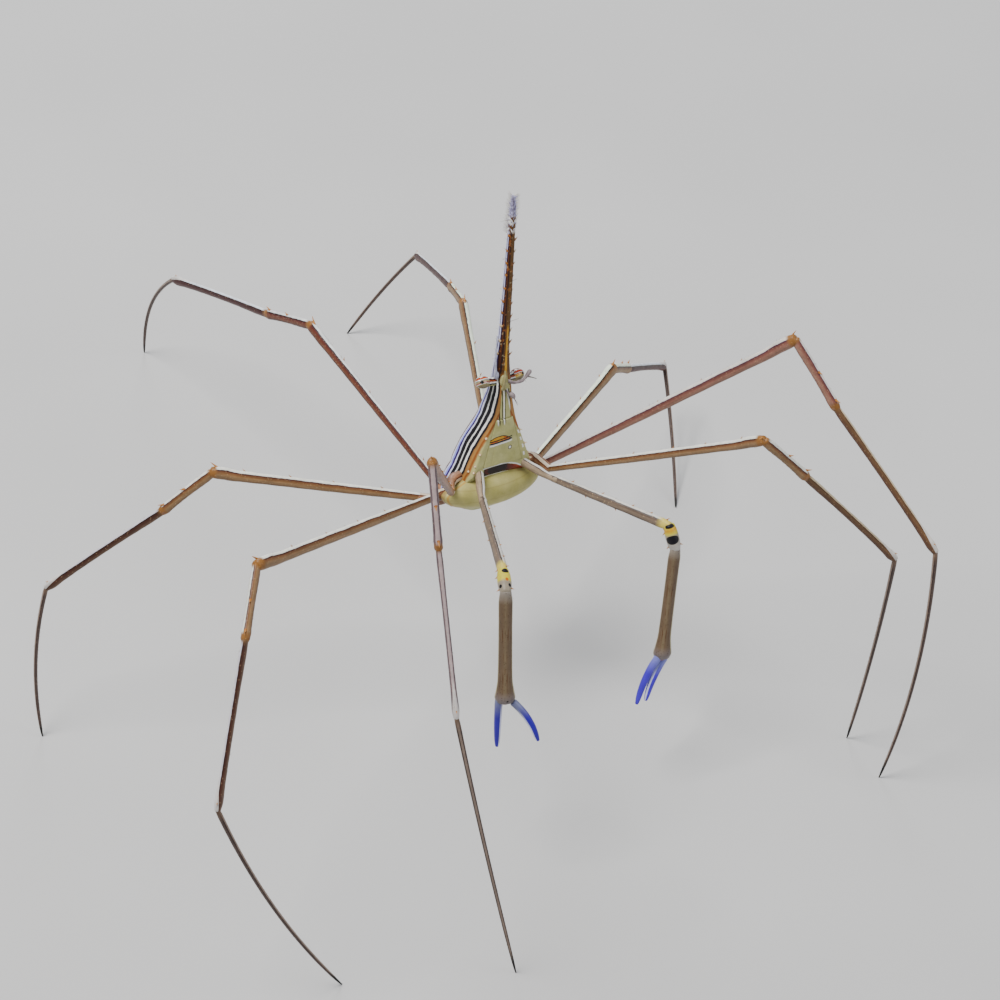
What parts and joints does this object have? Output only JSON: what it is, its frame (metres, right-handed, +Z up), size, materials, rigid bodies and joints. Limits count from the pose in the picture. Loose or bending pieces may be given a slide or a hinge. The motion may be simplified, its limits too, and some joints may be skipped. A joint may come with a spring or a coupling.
{
  "type": "arrow crab",
  "caption": "Arrow crab standing on long thin legs, its spiny pointed rostrum held straight up, small blue-tipped claws hanging in front.",
  "frame": {"origin": "middle of the standing animal's outline on the floor (bottom centre of its bounding box)", "axes": "+Z up; the crab heads towards -Y; its own left side is at +X"},
  "size_m": [0.1146, 0.138, 0.0759],
  "materials": {
    "shell_striped": "satin shell, dark brown with blue-white stripes",
    "face_cream": "satin cream shell",
    "belly_cream": "smooth cream shell",
    "rostrum_brown": "satin brown shell with pale edges",
    "eye_red_brown": "glossy eye, red-brown banded",
    "feeler_grey": "thin grey feeler",
    "leg_orange_brown": "satin orange-brown shell with a white line",
    "shin_brown": "satin brown shell",
    "dactylus_grey": "dark grey-brown leg tip",
    "arm_grey_brown": "satin grey-brown shell",
    "palm_grey": "grey claw shell",
    "finger_violet": "violet-blue finger"
  },
  "bodies": {
    "root": {"carapace": "shell_striped", "rostrum": "rostrum_brown", "epistome": "face_cream", "maxilliped_left": "face_cream", "maxilliped_right": "face_cream", "sternum": "face_cream", "abdomen": "belly_cream", "eye_left": "eye_red_brown", "eye_right": "eye_red_brown", "antenna_left": "feeler_grey", "antenna_right": "feeler_grey", "antennule_left": "feeler_grey", "antennule_right": "feeler_grey", "claw_left_merus": "arm_grey_brown", "claw_left_carpus": "arm_grey_brown", "claw_left_palm": "palm_grey", "claw_left_finger": "finger_violet", "claw_right_merus": "arm_grey_brown", "claw_right_carpus": "arm_grey_brown", "claw_right_palm": "palm_grey", "claw_right_finger": "finger_violet", "leg1_left_merus": "leg_orange_brown", "leg1_left_carpus": "leg_orange_brown", "leg1_left_propodus": "shin_brown", "leg1_left_dactylus": "dactylus_grey", "leg1_right_merus": "leg_orange_brown", "leg1_right_carpus": "leg_orange_brown", "leg1_right_propodus": "shin_brown", "leg1_right_dactylus": "dactylus_grey", "leg2_left_merus": "leg_orange_brown", "leg2_left_carpus": "leg_orange_brown", "leg2_left_propodus": "shin_brown", "leg2_left_dactylus": "dactylus_grey", "leg2_right_merus": "leg_orange_brown", "leg2_right_carpus": "leg_orange_brown", "leg2_right_propodus": "shin_brown", "leg2_right_dactylus": "dactylus_grey", "leg3_left_merus": "leg_orange_brown", "leg3_left_carpus": "leg_orange_brown", "leg3_left_propodus": "shin_brown", "leg3_left_dactylus": "dactylus_grey", "leg3_right_merus": "leg_orange_brown", "leg3_right_carpus": "leg_orange_brown", "leg3_right_propodus": "shin_brown", "leg3_right_dactylus": "dactylus_grey", "leg4_left_merus": "leg_orange_brown", "leg4_left_carpus": "leg_orange_brown", "leg4_left_propodus": "shin_brown", "leg4_left_dactylus": "dactylus_grey", "leg4_right_merus": "leg_orange_brown", "leg4_right_carpus": "leg_orange_brown", "leg4_right_propodus": "shin_brown", "leg4_right_dactylus": "dactylus_grey"}
  },
  "joints": []
}
